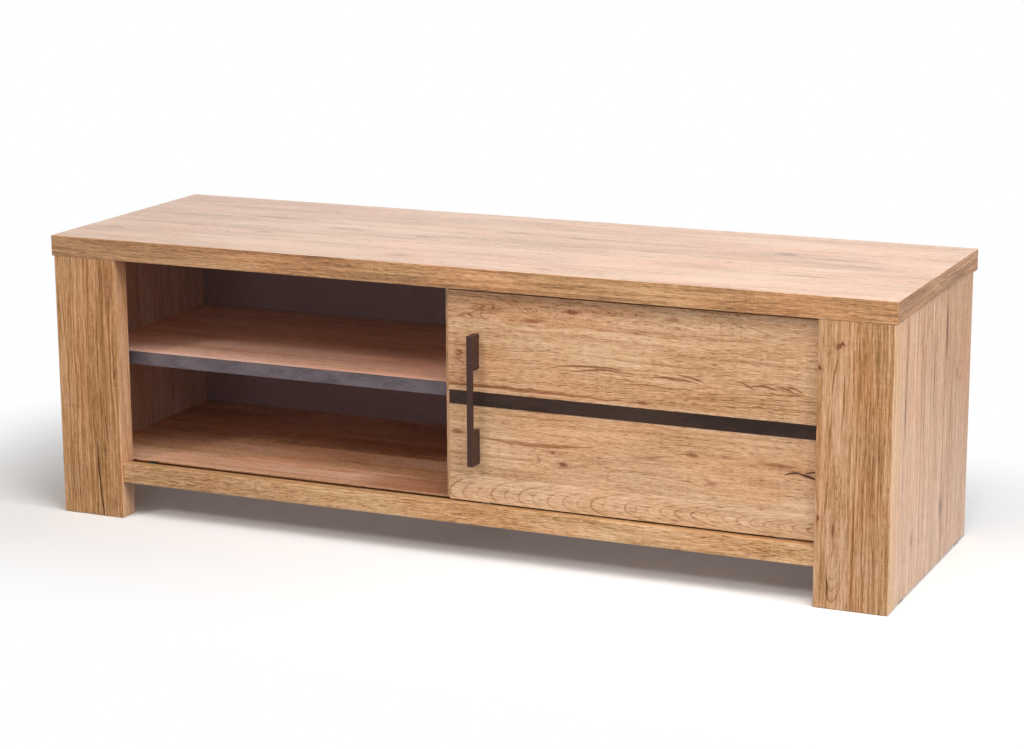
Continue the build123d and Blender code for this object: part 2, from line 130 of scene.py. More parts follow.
def apart(tree, vector):
    """The three numbers of a vector."""
    split = tree.nodes.new("ShaderNodeSeparateXYZ")
    tree.links.new(vector, split.inputs[0])
    return split.outputs


def tone_ramp(tree, value, tones):
    """A colour ramp through the given tones."""
    ramp = tree.nodes.new("ShaderNodeValToRGB")
    stops = ramp.color_ramp.elements
    while len(stops) < len(tones):
        stops.new(0.5)
    for stop, (position, colour) in zip(stops, tones):
        stop.position = position
        stop.color = (*colour, 1.0)
    tree.links.new(value, ramp.inputs[0])
    return ramp.outputs[0]


def make_oak_print():
    """The printed paper: place on the face in millimetres in, colour, height and roughness out."""
    tree = bpy.data.node_groups.new("oak_print", "ShaderNodeTree")
    for name, kind in (("Place", "Vector"), ("Plank", "Vector"), ("Figure", "Vector"), ("Layers", "Vector"),
                       ("Contrast", "Float"), ("Bulge", "Float"), ("Mark", "Float")):
        tree.interface.new_socket(name, in_out="INPUT", socket_type="NodeSocket" + kind)
    for name, kind in (("Colour", "Color"), ("Height", "Float"), ("Roughness", "Float")):
        tree.interface.new_socket(name, in_out="OUTPUT", socket_type="NodeSocket" + kind)
    place, plank, figure, layers, contrast, bulge, mark = tree.nodes.new("NodeGroupInput").outputs[:7]
    along, across, _ = apart(tree, place)
    tone, pith, apex = apart(tree, plank)
    lines, spacing, rise = apart(tree, figure)
    stain_share, thread_share, speck_share = apart(tree, layers)

    wander = streaks(tree, place, 260, 70, 0.0, 1.0)
    ripple = streaks(tree, place, 46, 13, 3.0, 1.0)
    bent = calc(tree, "MULTIPLY_ADD", wander, RING_WANDER, calc(tree, "SUBTRACT", across, pith))
    bent = calc(tree, "MULTIPLY_ADD", ripple, RING_RIPPLE, bent)
    off_pith = calc(tree, "SUBTRACT", bent, RING_MIDDLE)
    depth = calc(tree, "MULTIPLY", calc(tree, "SUBTRACT", along, apex), rise)
    reach = add_node(tree, "CombineXYZ", off_pith, depth, 0.0)
    radius = calc(tree, "ADD", add_node(tree, "VectorMath", reach, out=1, operation="LENGTH"), bulge)
    bands = add_node(tree, "TexNoise", None, calc(tree, "DIVIDE", radius, BAND_WIDTH), 1.0, 2.0, 0.55,
                     noise_dimensions="1D")
    drift = add_node(tree, "TexNoise", None, calc(tree, "DIVIDE", radius, DRIFT_WIDTH), 1.0, 1.0, 0.5,
                     noise_dimensions="1D")
    ring = calc(tree, "DIVIDE", radius, spacing)
    tooth = calc(tree, "FRACT", calc(tree, "MULTIPLY_ADD", drift, RING_DRIFT, ring))
    late = calc(tree, "MULTIPLY", ease(tree, tooth, 0.74, 0.93), ease(tree, tooth, 1.0, 0.95))
    late = calc(tree, "MULTIPLY", late, ease(tree, bands, 0.65, 0.35, 0.3, 1.0))

    stain = streaks(tree, place, 300, 46, 7.0)
    blush = streaks(tree, place, 210, 90, 11.0)
    fibre = streaks(tree, place, 26, 1.7, 15.0, 4.0)
    thread = streaks(tree, place, 150, 4.6, 19.0, 3.0)
    speck = streaks(tree, place, 10, 1.6, 21.0, 2.0)
    pores = ease(tree, streaks(tree, place, 15, 1.4, 23.0, 1.0), 0.58, 0.70)
    saw = streaks(tree, place, 1.8, 75, 27.0, 1.0)
    sawn = ease(tree, streaks(tree, place, 140, 110, 31.0, 1.0), 0.45, 0.65)
    line = calc(tree, "MULTIPLY", late, ease(tree, speck, 0.25, 0.60, 0.45, 1.0))
    saw_mark = calc(tree, "MULTIPLY", calc(tree, "SUBTRACT", saw, 0.5), sawn)

    flecks = calc(tree, "MULTIPLY", pores, speck_share)
    detail = calc(tree, "MULTIPLY_ADD", saw_mark, SAW_SHARE, DETAIL_LIFT)
    detail = calc(tree, "MULTIPLY_ADD", flecks, -PORE_SHARE, detail)
    for layer, share in ((stain, stain_share), (bands, BAND_SHARE), (fibre, FIBRE_SHARE),
                         (thread, thread_share), (speck, speck_share)):
        detail = calc(tree, "MULTIPLY_ADD", calc(tree, "SUBTRACT", layer, 0.5), share, detail)
    detail = calc(tree, "SUBTRACT", detail, calc(tree, "MULTIPLY", line, lines))
    ground = calc(tree, "MULTIPLY_ADD", tone, TONE_STEP, MIDDLE_TONE)
    value = calc(tree, "MULTIPLY_ADD", detail, contrast, ground)
    colour = tone_ramp(tree, value, OAK_TONES)
    rosy = ease(tree, blush, 0.42, 0.66)
    colour = mix_colours(tree, rosy, colour, (*OAK_BLUSH, 1), "MULTIPLY")
    colour = mix_colours(tree, ease(tree, mark, 0.0, 0.6), colour, (*KNOT_STAIN, 1), "MULTIPLY")
    colour = mix_colours(tree, ease(tree, mark, 0.45, 1.0), colour, (*KNOT_BROWN, 1))

    height = calc(tree, "MULTIPLY_ADD", pores, -0.55, calc(tree, "MULTIPLY", fibre, 0.6))
    height = calc(tree, "MULTIPLY_ADD", mark, -0.8, height)
    rough = calc(tree, "MULTIPLY_ADD", pores, 0.12, calc(tree, "MULTIPLY_ADD", fibre, 0.16, 0.33))
    result = tree.nodes.new("NodeGroupOutput")
    for socket, made in zip(result.inputs, (colour, height, rough)):
        tree.links.new(made, socket)
    return tree


def oak_board(name, grain, planks, knots=(), cracks=(), stains=(), faces=(), sheet=0.0, contrast=1.0,
              layers=LIVELY_GRAIN, tint=(1, 1, 1), shine=0.5, coat=0.0):
    """A board's finish. Planks are (start, tone, pith, apex) side by side across the grain, and where the
    rings show, the lines' strength, spacing and rise too. Knots are (along, across, half length, half width,
    darkness), and stains the same, but the rings don't bend round them. Cracks are (along, across) of both
    ends, then bow, half width and darkness. Lengths are millimetres in the bench's frame. Faces that differ
    are (direction, change of tone, contrast, tint)."""
    finish = bpy.data.materials.new(name)
    finish.use_nodes = True
    tree = finish.node_tree
    where = tree.nodes.new("ShaderNodeTexCoord")
    point = add_node(tree, "VectorMath", where.outputs["Object"], (1000,) * 3, operation="MULTIPLY")
    x, y, z = apart(tree, point)
    diagonal = math.sqrt(0.5)  # a face within 45 degrees of an axis counts as square to it
    faced = add_node(tree, "VectorMath", where.outputs["Normal"], (diagonal,) * 3, (0.5,) * 3,
                     operation="MULTIPLY_ADD")
    faced = add_node(tree, "VectorMath", faced, operation="FLOOR")
    face_x, face_y, face_z = apart(tree, add_node(tree, "VectorMath", faced, operation="ABSOLUTE"))
    length, cross, end_face, broad_face = (x, z, face_x, face_z) if grain == "X" else (z, x, face_z, face_x)
    along = add_node(tree, "Mix", end_face, None, length, y, data_type="FLOAT")
    across = add_node(tree, "Mix", broad_face, None, cross, y, data_type="FLOAT")
    page = add_node(tree, "VectorMath", faced, FACE_PAGES, out=1, operation="DOT_PRODUCT")
    page = calc(tree, "ADD", page, sheet)

    plank = planks[0][1:4]
    figures = [row[4:] or STRAIGHT_GRAIN for row in planks]
    figure = figures[0]
    for i in range(1, len(planks)):
        past = calc(tree, "GREATER_THAN", across, float(planks[i][0]))
        change = tuple(b - a for a, b in zip(planks[i - 1][1:4], planks[i][1:4]))
        plank = add_node(tree, "VectorMath", past, change, plank, operation="MULTIPLY_ADD")
        if figures[i] != figures[i - 1]:
            change = tuple(b - a for a, b in zip(figures[i - 1], figures[i]))
            figure = add_node(tree, "VectorMath", past, change, figure, operation="MULTIPLY_ADD")
        page = calc(tree, "MULTIPLY_ADD", past, PLANK_PAGE, page)
    # Face rows change single faces: on some boards the print's own edge tone, on others painted shade or
    # painted sheen.
    face_tints = []
    for direction, change, face_contrast, face_tint in faces:
        turned = add_node(tree, "VectorMath", faced, direction, out=1, operation="DOT_PRODUCT")
        turned = calc(tree, "MAXIMUM", turned, 0.0)
        plank = add_node(tree, "VectorMath", turned, (change, 0, 0), plank, operation="MULTIPLY_ADD")
        contrast = add_node(tree, "Mix", turned, None, contrast, face_contrast, data_type="FLOAT")
        face_tints.append((turned, face_tint))
    place = add_node(tree, "CombineXYZ", along, across, page)

    shrunk = tuple(1 / size for size in RAGGED_SIZE)
    ragged = add_node(tree, "VectorMath", place, (*shrunk, 1), operation="MULTIPLY")
    ragged = add_node(tree, "TexNoise", ragged, None, 1.0, 2.0, 0.6, out=1)
    ragged = add_node(tree, "VectorMath", ragged, (0.5, 0.5, 0.5), operation="SUBTRACT")
    ragged = add_node(tree, "VectorMath", ragged, RAGGED_REACH, place, operation="MULTIPLY_ADD")
    mark = 0.0
    bulge = 0.0
    for spot in (*knots, *stains):
        spot_along, spot_across, half_length, half_width, darkness = spot
        offset = add_node(tree, "VectorMath", ragged, (spot_along, spot_across, 0), operation="SUBTRACT")
        shrunk = (1 / half_length, 1 / half_width, 0)
        offset = add_node(tree, "VectorMath", offset, shrunk, operation="MULTIPLY")
        reach = add_node(tree, "VectorMath", offset, out=1, operation="LENGTH")
        core = ease(tree, reach, 0.35, 1.05, darkness, 0.0)
        halo = ease(tree, reach, 0.6, 2.4, HALO_SHARE * darkness, 0.0)
        mark = calc(tree, "MAXIMUM", calc(tree, "MAXIMUM", core, halo), mark)
        if spot in knots:
            detour = ease(tree, reach, 0.0, 3.2, RING_DETOUR * half_width, 0.0)
            bulge = calc(tree, "ADD", detour, bulge)
    shrunk = tuple(1 / size for size in SWAY_SIZE)
    sway = add_node(tree, "VectorMath", place, (*shrunk, 1), operation="MULTIPLY")
    sway = add_node(tree, "TexNoise", sway, None, 1.0, 2.0, 0.5)
    swayed_across = calc(tree, "MULTIPLY_ADD", calc(tree, "SUBTRACT", sway, 0.5), SWAY_REACH, across)
    for start_along, start_across, end_along, end_across, bow, half_width, darkness in cracks:
        share = add_node(tree, "MapRange", along, start_along, end_along)
        taper = calc(tree, "MULTIPLY", calc(tree, "MULTIPLY", share, 4.0), calc(tree, "SUBTRACT", 1.0, share))
        middle = add_node(tree, "MapRange", share, 0.0, 1.0, start_across, end_across)
        middle = calc(tree, "MULTIPLY_ADD", taper, bow, middle)
        gap = calc(tree, "ABSOLUTE", calc(tree, "SUBTRACT", swayed_across, middle))
        room = calc(tree, "SUBTRACT", calc(tree, "MULTIPLY", taper, half_width), gap)
        mark = calc(tree, "MAXIMUM", ease(tree, room, 0.0, 0.7 * half_width, 0.0, darkness), mark)

    printed = tree.nodes.new("ShaderNodeGroup")
    printed.node_tree = oak_print
    for socket, value in zip(printed.inputs, (place, plank, figure, layers, contrast, bulge, mark)):
        if isinstance(value, bpy.types.NodeSocket):
            tree.links.new(value, socket)
        else:
            socket.default_value = value
    shader = tree.nodes["Principled BSDF"]
    # The tint multiplies the print: the board's own tone, and on the shelf and bottom painted fill light too.
    colour = mix_colours(tree, 1.0, printed.outputs["Colour"], (*tint, 1), "MULTIPLY")
    for turned, face_tint in face_tints:
        colour = mix_colours(tree, turned, colour, (*face_tint, 1), "MULTIPLY")
    tree.links.new(colour, shader.inputs["Base Color"])
    tree.links.new(printed.outputs["Roughness"], shader.inputs["Roughness"])
    bump = add_node(tree, "Bump", GRAIN_RELIEF, GRAIN_DEPTH, None, printed.outputs["Height"])
    tree.links.new(bump, shader.inputs["Normal"])
    shader.inputs["Specular IOR Level"].default_value = shine
    shader.inputs["Coat Weight"].default_value = coat
    shader.inputs["Coat Roughness"].default_value = COAT_ROUGHNESS
    return finish


def dress(node, finish):
    """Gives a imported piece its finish."""
    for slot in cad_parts[node].material_slots:
        slot.material = finish


oak_print = make_oak_print()
right_side_planks = (
    (-400, -0.05, -900, 200), (-168, -0.50, -900, 200), (-150, -0.02, -700, 300), (-100, -0.28, -700, 300),
    (-88, -0.05, -700, 300), (-72, -0.45, 500, -500), (-40, -0.18, 500, -500), (1, -0.60, 700, 200),
    (8, -0.26, 700, 200), (60, -0.80, 700, 200), (82, -0.66, -500, 800),
)
right_side_knots = (
    (97, 67, 26, 12, 0.62), (88, -108, 16, 9, 0.54), (302, 148, 16, 12, 0.40), (330, 0, 80, 6, 0.34),
    (390, 73, 75, 10, 0.44), (310, -164, 50, 6, 0.38), (110, -30, 60, 5, 0.20),
)
right_side_cracks = (
    (245, 2, 410, 0, 2, 3.2, 0.84), (315, 75, 452, 70, 2, 5.2, 0.80), (265, -163, 352, -166, 2, 3.2, 0.76),
    (60, 68, 124, 64, 1, 3.0, 0.66), (20, -66, 450, -70, 0, 2.2, 0.56), (20, -169, 450, -167, 0, 1.8, 0.46),
    (180, 122, 420, 118, 1, 1.8, 0.42), (30, -118, 200, -112, 2, 1.6, 0.36),
    (240, -110, 440, -122, 3, 1.5, 0.34),
)
left_side_planks = (
    (-400, -0.10, -900, 700), (-120, -0.25, -700, 100), (10, -0.10, 600, -400), (140, -0.2, -500, 600),
)
left_side_knots = ((360, -60, 18, 7, 0.40), (150, 110, 14, 6, 0.35))
left_side_cracks = ((110, 44, 250, 40, 2, 1.8, 0.45),)
# The left side's inner face is printed darker and tinted bluish: painted shade of the compartment, with a
# painted bluish fill.
left_side_inside_painted_shade = ((1, 0, 0), -0.42, 0.6, (0.98, 1.10, 1.72))
dress("right_side_panel", oak_board("right_side_oak", "Z", right_side_planks, right_side_knots,
                                    right_side_cracks, sheet=40.0, contrast=1.5, layers=QUIET_GRAIN,
                                    tint=(0.90, 0.89, 0.98), coat=0.25))
dress("left_side_panel", oak_board("left_side_oak_with_painted_shade", "Z", left_side_planks, left_side_knots,
                                   left_side_cracks, sheet=60.0, layers=QUIET_GRAIN,
                                   faces=(left_side_inside_painted_shade,)))

# Front posts: wide upright boards in the same paper, eased at the front edges, standing on the floor.
# They are doweled to the side panels and the top, and their print shows long drying cracks.
right_post_planks = ((-400, -0.22, -900, 300), (300, -0.54, 655, 350, 0.26, 1.6, 0.10),
                     (682, -1.08, 200, 600, 0.24, 6.5, 0.02))
right_post_knots = (
    (418, 660, 8, 9, 0.62), (421, 664, 4, 8, 0.85), (382, 630, 5, 4, 0.85), (144, 632, 8, 4, 0.60),
    (126, 656, 18, 3.5, 0.66),
)
right_post_cracks = (
    (8, 649, 60, 646, 1, 2.2, 0.80), (250, 646, 330, 648, 2, 1.8, 0.55), (330, 652, 410, 660, -3, 2.0, 0.66),
    (260, 664, 390, 668, 3, 1.8, 0.55), (130, 640, 230, 645, 2, 1.6, 0.45), (60, 652, 170, 660, 2, 1.8, 0.50),
)
left_post_planks = ((-900, -0.90, -1300, 200, 0.20, 6.0, 0.02), (-688, -1.22, -200, 900, 0.20, 7.0, 0.02),
                    (-650, -0.98, -1200, 300, 0.20, 6.0, 0.02), (-500, -0.30, 300, 0))
left_post_knots = ((300, -706, 10, 3, 0.25), (256, -633, 14, 3, 0.55))
left_post_stains = ((410, -643, 80, 22, 0.30), (25, -642, 24, 10, 0.30))
left_post_cracks = (
    (-70, -661, 186, -678, 0, 2.6, 0.97), (196, -664, 240, -661, 0, 1.6, 0.70),
    (122, -650, 190, -656, 0, 1.9, 0.72), (230, -634, 352, -636, 0, 1.8, 0.58),
    (14, -728, 60, -730, 0, 1.3, 0.45), (150, -688, 470, -690, 1, 1.2, 0.42),
    (-20, -713, 480, -713, 1, 1.3, 0.40), (-20, -727, 480, -728, 0, 1.2, 0.34),
    (-40, -700, 330, -701, 1, 1.1, 0.30), (140, -660, 470, -655, 2, 1.2, 0.36),
    (-20, -640, 480, -642, 1, 1.1, 0.28),
)
# The left post's inner face, turned to the compartment, is tinted darker: painted shade.
left_post_return_painted_shade = ((1, 0, 0), 0.0, 1.1, (0.85, 0.84, 0.89))
dress("right_post", oak_board("right_post_oak", "Z", right_post_planks, right_post_knots,
                              right_post_cracks, sheet=80.0, contrast=1.02, layers=QUIET_GRAIN,
                              tint=(1.01, 1.05, 1.15), shine=0.2))
dress("left_post", oak_board("left_post_oak_with_painted_shade", "Z", left_post_planks, left_post_knots,
                             left_post_cracks, left_post_stains, faces=(left_post_return_painted_shade,), sheet=100.0,
                             contrast=1.0, layers=QUIET_GRAIN, tint=(1.10, 1.09, 1.09), shine=0.2))

# Bottom panel and front rail: the rail joins the posts on dowels, and the panel lies behind it on
# cam fittings, with the door's track let into its front edge. Both have the grain lengthwise.
rail_planks = ((-400, -0.47, -800, 0), (30, -0.47, 700, 300))
rail_stains = ((-470, 81, 330, 40, 0.19),)
rail_knots = ((120, 78, 10, 2.5, 0.40), (505, 84, 6, 2, 0.35))
# The bottom panel's tones by depth are painted light and shade: a bright band near the front, darker towards
# the back.
bottom_planks_and_painted_light = (
    (-400, 0.10, -900, 500), (-172, 0.85, -900, 500), (-136, -0.15, 600, -400), (-114, -0.72, 600, -400),
    (-60, -0.42, 600, -400), (-5, -0.95, -500, 300),
)
bottom_stains = ((-90, -160, 180, 60, 0.48), (-360, -160, 340, 44, 0.25))
bottom_knots = ((-480, -120, 20, 5, 0.35), (-260, -70, 14, 4, 0.32), (330, -100, 16, 5, 0.35))
dress("bottom_rail", oak_board("rail_oak", "X", rail_planks, rail_knots, stains=rail_stains, sheet=120.0,
                               contrast=1.4, tint=(1.03, 1.04, 1.0), shine=0.3))
# The bottom's tint lightens it and turns it bluish: painted fill light in the compartment.
dress("bottom_panel", oak_board("bottom_oak_with_painted_light", "X", bottom_planks_and_painted_light, bottom_knots, stains=bottom_stains,
                                sheet=140.0, contrast=1.2, tint=(1.17, 1.18, 1.38)))

# Divider: a 36 mm upright in the middle, screwed from below and held to the top by cam fittings.
# Its front edge is banded in the same oak paper.
divider_planks = ((-400, 0.10, -700, 600), (-100, -0.04, 500, -400), (60, 0.05, -500, 900))
dress("divider", oak_board("divider_oak", "Z", divider_planks, sheet=160.0))

# Shelves: loose boards on four pins each, oak paper above and below, with a graphite-grey edging
# ironed on the front. The edging has the cloudy look of raw sheet steel.
# The shelves' tones by depth are painted light and shade: a pale front strip is a painted highlight, the
# bright band behind it painted light, the dark rear painted shade.
shelf_planks_and_painted_light = (
    (-400, 1.45, -900, 700), (-154, 0.50, -900, 700), (-112, 0.55, 500, -400), (-88, 1.00, 500, -400),
    (-44, 0.60, 500, -400), (10, 0.15, -700, 400),
)
shelf_knots = ((-500, -150, 12, 4, 0.38), (-330, -120, 10, 3, 0.30), (-160, -60, 16, 5, 0.30))
GRAPHITE_DARK = (0.058, 0.045, 0.049)
GRAPHITE_LIGHT = (0.130, 0.100, 0.108)
CLOUD_SHARE = 0.65
SPECKLE_SHARE = 0.35
SPECKLE_SCALE = 9.0
SPECKLE_DEPTH = 0.0003
SHEEN_SPREAD = 0.18


def mottled(name, dark, light, size, roughness, metallic=0.0, bump=0.05, stretch=(1, 1, 1), shine=0.5):
    """A plain finish with life in it: two tones in clouds of a size in millimetres, with fine grain."""
    finish = bpy.data.materials.new(name)
    finish.use_nodes = True
    tree = finish.node_tree
    where = tree.nodes.new("ShaderNodeTexCoord")
    scaled = tuple(1000 / (size * s) for s in stretch)
    spot = add_node(tree, "VectorMath", where.outputs["Object"], scaled, operation="MULTIPLY")
    clouds = add_node(tree, "TexNoise", spot, None, 1.0, 4.0, 0.6)
    grain = add_node(tree, "TexNoise", spot, None, SPECKLE_SCALE, 2.0, 0.6)
    share = calc(tree, "MULTIPLY_ADD", grain, SPECKLE_SHARE, calc(tree, "MULTIPLY", clouds, CLOUD_SHARE))
    share = ease(tree, share, 0.34, 0.64)
    shader = tree.nodes["Principled BSDF"]
    tree.links.new(mix_colours(tree, share, (*dark, 1), (*light, 1)), shader.inputs["Base Color"])
    smoothest = roughness - SHEEN_SPREAD / 2
    tree.links.new(calc(tree, "MULTIPLY_ADD", grain, SHEEN_SPREAD, smoothest), shader.inputs["Roughness"])
    shader.inputs["Metallic"].default_value = metallic
    shader.inputs["Specular IOR Level"].default_value = shine
    tree.links.new(add_node(tree, "Bump", bump, SPECKLE_DEPTH, None, grain), shader.inputs["Normal"])
    return finish


# The shelf's tint lightens it and turns it bluish: painted fill light in the compartment.
shelf_oak_with_painted_light = oak_board("shelf_oak_with_painted_light", "X", shelf_planks_and_painted_light, shelf_knots, sheet=180.0, contrast=1.2,
                      tint=(1.32, 1.27, 1.62))
graphite_edging = mottled("graphite_edging", GRAPHITE_DARK, GRAPHITE_LIGHT, 24.0, 0.50, stretch=(2.2, 1, 1))
for side in ("left", "right"):
    dress(f"{side}_shelf", shelf_oak_with_painted_light)
    dress(f"{side}_shelf_edging", graphite_edging)

# Back panels: thin hardboard in one dark brown on both faces, lying in the side panels' rebates and nailed
# to the sides, the divider and the bottom. Each has a round hole for cables.
HARDBOARD_DARK = (0.136, 0.077, 0.067)
HARDBOARD_LIGHT = (0.190, 0.112, 0.097)
hardboard = mottled("brown_hardboard", HARDBOARD_DARK, HARDBOARD_LIGHT, 3.0, 0.72, bump=0.12)
for side in ("left", "right"):
    dress(f"{side}_back_panel", hardboard)

NAIL_SPACING = 0.082
NAIL_HEAD = 0.0020
NAIL_RISE = 0.0007
NAIL_SINK = 0.0002
NAIL_SIDES = 12
NAIL_CROWN = 0.62
OUTER_LINE = 0.004
LOWER_LINE = 0.009
DIVIDER_LINE = 0.009
UPPER_END = 0.02


def nail_tree(finish):
    """Geometry nodes: a domed head at each step along the nailing lines."""
    tree = bpy.data.node_groups.new("nail_heads", "GeometryNodeTree")
    tree.interface.new_socket("Lines", in_out="INPUT", socket_type="NodeSocketGeometry")
    keys = {}
    for name, value in (("Spacing", NAIL_SPACING), ("Head radius", NAIL_HEAD), ("Head rise", NAIL_RISE)):
        socket = tree.interface.new_socket(name, in_out="INPUT", socket_type="NodeSocketFloat")
        keys[socket.identifier] = value
    tree.interface.new_socket("Heads", in_out="OUTPUT", socket_type="NodeSocketGeometry")
    lines, spacing, radius, rise = tree.nodes.new("NodeGroupInput").outputs[:4]
    curve = tree.nodes.new("GeometryNodeMeshToCurve")
    steps = tree.nodes.new("GeometryNodeResampleCurve")
    steps.mode = "LENGTH"
    head = tree.nodes.new("GeometryNodeMeshCone")
    head.inputs["Vertices"].default_value = NAIL_SIDES
    head.inputs["Side Segments"].default_value = 1
    crown = tree.nodes.new("ShaderNodeMath")
    crown.operation = "MULTIPLY"
    crown.inputs[1].default_value = NAIL_CROWN
    spread = tree.nodes.new("GeometryNodeInstanceOnPoints")
    spread.inputs["Rotation"].default_value = (-math.pi / 2, 0, 0)
    real = tree.nodes.new("GeometryNodeRealizeInstances")
    dressed = tree.nodes.new("GeometryNodeSetMaterial")
    dressed.inputs["Material"].default_value = finish
    result = tree.nodes.new("NodeGroupOutput")
    for start, end in ((lines, curve.inputs["Mesh"]), (curve.outputs[0], steps.inputs["Curve"]),
                       (spacing, steps.inputs["Length"]), (radius, head.inputs["Radius Bottom"]),
                       (radius, crown.inputs[0]), (crown.outputs[0], head.inputs["Radius Top"]),
                       (rise, head.inputs["Depth"]), (steps.outputs[0], spread.inputs["Points"]),
                       (head.outputs["Mesh"], spread.inputs["Instance"]), (spread.outputs[0], real.inputs[0]),
                       (real.outputs[0], dressed.inputs["Geometry"]), (dressed.outputs[0], result.inputs[0])):
        tree.links.new(start, end)
    return tree, keys


ZINC_DARK = (0.42, 0.43, 0.44)
ZINC_LIGHT = (0.62, 0.63, 0.64)
zinc_steel = mottled("zinc_steel", ZINC_DARK, ZINC_LIGHT, 2.2, 0.34, metallic=1.0, bump=0.06)
corners = []
edges = []
for side, inner in (("left", -DIVIDER_LINE), ("right", DIVIDER_LINE)):
    low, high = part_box(f"{side}_back_panel")
    outer = low.x + OUTER_LINE if side == "left" else high.x - OUTER_LINE
    back = high.y - NAIL_SINK
    first = len(corners)
    corners += [(outer, back, high.z - UPPER_END), (outer, back, low.z + LOWER_LINE),
                (inner, back, low.z + LOWER_LINE), (inner, back, high.z - UPPER_END)]
    edges += [(first + i, first + i + 1) for i in range(3)]
nail_lines = bpy.data.meshes.new("nailing_lines")
nail_lines.from_pydata(corners, edges, [])
nails = bpy.data.objects.new("back_panel_nails", nail_lines)
bpy.context.scene.collection.objects.link(nails)
nailing = nails.modifiers.new("nail_heads", "NODES")
nailing.node_group, nail_sizes = nail_tree(zinc_steel)
for key, value in nail_sizes.items():
    nailing[key] = value
nail_mesh = bpy.data.meshes.new_from_object(nails.evaluated_get(bpy.context.evaluated_depsgraph_get()))
nails.modifiers.clear()
nails.data = nail_mesh
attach(nails, "carcase")

# Sliding gear of the carcase: a dark plastic track with a rib in the bottom's groove, rubber stops
# on its ends, and a dark channel in the top's groove that keeps the door upright.
# The track's and the channel's brown hue is painted shade: the warm dark of the gaps below and above the
# door.
TRACK_SHADE_DARK = (0.052, 0.016, 0.004)
TRACK_SHADE_LIGHT = (0.086, 0.026, 0.008)
plastic_with_painted_shade = mottled("plastic_with_painted_shade", TRACK_SHADE_DARK, TRACK_SHADE_LIGHT, 1.6, 0.55, bump=0.10, shine=0.1)
RUBBER_DARK = (0.010, 0.010, 0.010)
RUBBER_LIGHT = (0.022, 0.021, 0.020)
black_rubber = mottled("black_rubber", RUBBER_DARK, RUBBER_LIGHT, 2.4, 0.78, bump=0.14)
for node in ("lower_track", "upper_guide_channel"):
    dress(node, plastic_with_painted_shade)
dress("track_stops", black_rubber)

# Cam fittings, dowels, pins and screws: zinc-plated steel and die-cast cams, with fluted beech dowels.
# They pull the boards together from inside, and the shelf pins plug into the sides and the divider.
BEECH_DARK = (0.44, 0.27, 0.15)
BEECH_LIGHT = (0.62, 0.42, 0.26)
beech = mottled("beech", BEECH_DARK, BEECH_LIGHT, 3.0, 0.62, stretch=(1, 1, 6))
for node in ("cam_housings", "cam_bolts", "divider_screws", "centre_foot_screws", "shelf_pins",
             "handle_screws", "roller_housing_screws", "top_guide_screws", "roller_axles"):
    dress(node, zinc_steel)
dress("wood_dowels", beech)

# Top: a 36 mm board in the same paper, with the grain lengthwise, doweled to the posts and pulled
# down on the sides and the divider by cam fittings. Its four edges are banded.
CLOUDY_GRAIN = (0.60, 0.60, 0.44)
top_planks = ((-400, 0.62, -1000, 900), (-57, 0.38, 700, -400), (90, 0.50, -800, 600), (400, -1.40, 1200, 0))
top_knots = (
    (475, 72, 30, 13, 0.66), (-475, 72, 80, 10, 0.54), (-305, 17, 62, 7, 0.60), (-10, 88, 38, 8, 0.58),
    (105, 76, 30, 7, 0.58), (262, 13, 40, 7, 0.64), (-145, -8, 28, 8, 0.56), (-425, -66, 26, 7, 0.58),
    (-695, -120, 30, 7, 0.52), (560, -96, 76, 7, 0.54), (-110, -178, 26, 9, 0.52), (160, -200, 26, 8, 0.48),
)
top_stains = (
    (580, 55, 110, 18, 0.36), (-640, 40, 90, 16, 0.30), (600, 10, 110, 16, 0.28), (-600, 475, 300, 60, 0.20),
)
top_cracks = (
    (-578, -50, -548, -92, 0, 4, 0.36), (-552, -54, -522, -96, 0, 4, 0.36),
    (-527, -58, -497, -100, 0, 4, 0.34), (-502, -62, -472, -104, 0, 4, 0.36),
    (-260, -62, -232, -98, 0, 4, 0.30), (-226, -64, -200, -98, 0, 4, 0.30),
)
# The top face's paler, bluish tint is painted sheen: the grazing reflection of bright surroundings.
top_face_painted_sheen = ((0, 0, 1), 0.0, 1.6, (0.99, 0.96, 1.11))
top_ends = tuple(((end, 0, 0), -0.22, 1.1, (1.0, 0.99, 1.15)) for end in (1, -1))
dress("top_panel", oak_board("top_oak_with_painted_sheen", "X", top_planks, top_knots, top_cracks, top_stains,
                             faces=(top_face_painted_sheen, *top_ends), sheet=200.0, contrast=1.15, layers=CLOUDY_GRAIN,
                             tint=(1.0, 0.97, 0.89), coat=0.5))

# Sliding door: a 19 mm board in oak paper, grain lengthwise, grooved for a graphite strip that stands
# slightly proud. Fittings are let into its back, and the handle is screwed on from behind.
door_planks = ((-400, -0.10, -900, 300), (60, 0.36, 118, 740, 0.40, 2.3, 0.10), (146, -0.08, -700, 100),
               (290, -0.16, 330, 100, 0.30, 4.0, 0.03), (405, -0.26, 440, 562, 0.40, 1.9, 0.13))
door_knots = (
    (214, 431, 16, 6, 0.62), (148, 412, 24, 6, 0.42), (384, 432, 17, 5, 0.44), (12, 217, 18, 6, 0.62),
    (182, 198, 9, 3, 0.72), (200, 179, 12, 5, 0.76), (156, 184, 4, 8, 0.45), (420, 218, 16, 4, 0.62),
    (452, 175, 14, 6, 0.44), (560, 216, 44, 5, 0.50), (14, 340, 12, 8, 0.36), (335, 294, 15, 4, 0.60),
    (390, 408, 230, 3, 0.26), (300, 388, 190, 8, 0.18), (470, 376, 150, 5, 0.22), (70, 424, 60, 8, 0.26),
    (250, 436, 150, 6, 0.22), (540, 186, 60, 12, 0.16), (262, 190, 8, 14, 0.16), (350, 196, 110, 3, 0.24),
    (470, 220, 70, 4, 0.30),
)
